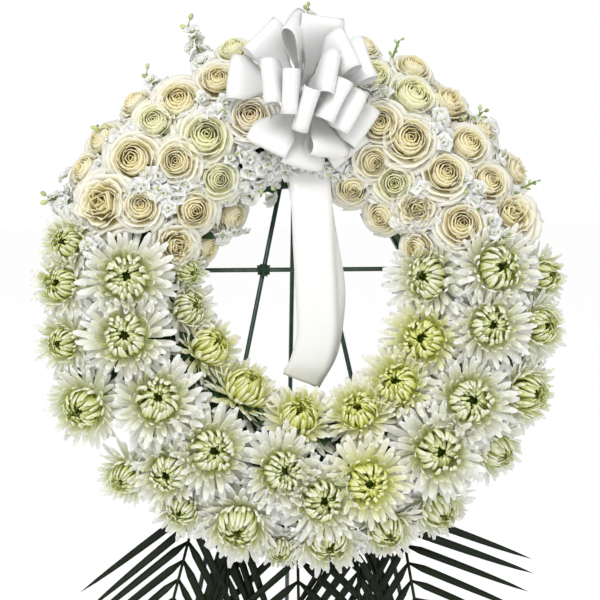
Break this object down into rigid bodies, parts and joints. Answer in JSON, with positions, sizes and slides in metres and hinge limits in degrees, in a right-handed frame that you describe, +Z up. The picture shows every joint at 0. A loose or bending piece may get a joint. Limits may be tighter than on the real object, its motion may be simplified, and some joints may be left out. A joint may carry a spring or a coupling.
{
  "type": "funeral wreath",
  "caption": "Standing funeral wreath: a ring of white chrysanthemums and cream roses with fern, palm and a satin bow, tied to a folding three-legged wire easel.",
  "frame": {"origin": "on the floor under the middle of the bounding box", "axes": "+Z up; the wreath faces -Y, +X is to the right as it is looked at"},
  "size_m": [0.6626, 0.5324, 1.3992],
  "materials": {
    "green_enamel": "satin",
    "tray_plastic": "matte",
    "foam": "matte",
    "tie_plastic": "satin",
    "chrysanthemum": "matte",
    "rose": "matte",
    "larkspur": "matte",
    "palm": "satin",
    "fern": "matte",
    "satin": "satin"
  },
  "bodies": {
    "wreath_and_front_frame": {"easel_leg_left": "green_enamel", "easel_leg_right": "green_enamel", "easel_hinge_pin": "green_enamel", "easel_stop_bar": "green_enamel", "easel_wreath_bar": "green_enamel", "easel_lower_bar": "green_enamel", "bar_binding_left": "green_enamel", "bar_binding_right": "green_enamel", "tie_leg_left": "tie_plastic", "tie_bar_left": "tie_plastic", "tie_leg_right": "tie_plastic", "tie_bar_right": "tie_plastic", "palm_far_left": "palm", "palm_left": "palm", "palm_middle": "palm", "palm_right": "palm", "palm_far_right": "palm", "fern_left_low": "fern", "fern_left": "fern", "fern_upper_left": "fern", "fern_top_left": "fern", "fern_top_right": "fern", "fern_right": "fern", "fern_right_low": "fern", "larkspur_tall_left": "larkspur", "stock_upper_left": "larkspur", "stock_left": "larkspur", "stock_far_left": "larkspur", "larkspur_tall_middle": "larkspur", "stock_upper_right": "larkspur", "stock_right": "larkspur", "larkspur_right": "larkspur", "bow": "satin", "ribbon_tail_front": "satin", "ribbon_tail_back": "satin", "roses_01": "rose", "roses_02": "rose", "roses_03": "rose", "roses_04": "rose", "roses_05": "rose", "roses_06": "rose", "roses_07": "rose", "roses_08": "rose", "roses_09": "rose", "roses_10": "rose", "roses_11": "rose", "chrysanthemums_01": "chrysanthemum", "chrysanthemums_02": "chrysanthemum", "chrysanthemums_03": "chrysanthemum", "chrysanthemums_04": "chrysanthemum", "chrysanthemums_05": "chrysanthemum", "chrysanthemums_06": "chrysanthemum", "chrysanthemums_07": "chrysanthemum", "chrysanthemums_08": "chrysanthemum", "chrysanthemums_09": "chrysanthemum", "chrysanthemums_10": "chrysanthemum", "chrysanthemums_11": "chrysanthemum", "ring_foam": "foam", "ring_tray": "tray_plastic"},
    "rear_leg": {"easel_rear_leg": "green_enamel"}
  },
  "joints": [
    {"name": "rear_leg_hinge", "type": "hinge", "parent": "wreath_and_front_frame", "child": "rear_leg", "pos_m": [-0.00549, -0.02896, 1.17183], "axis": [1, 0, 0], "range_deg": [-24, 0]}
  ]
}
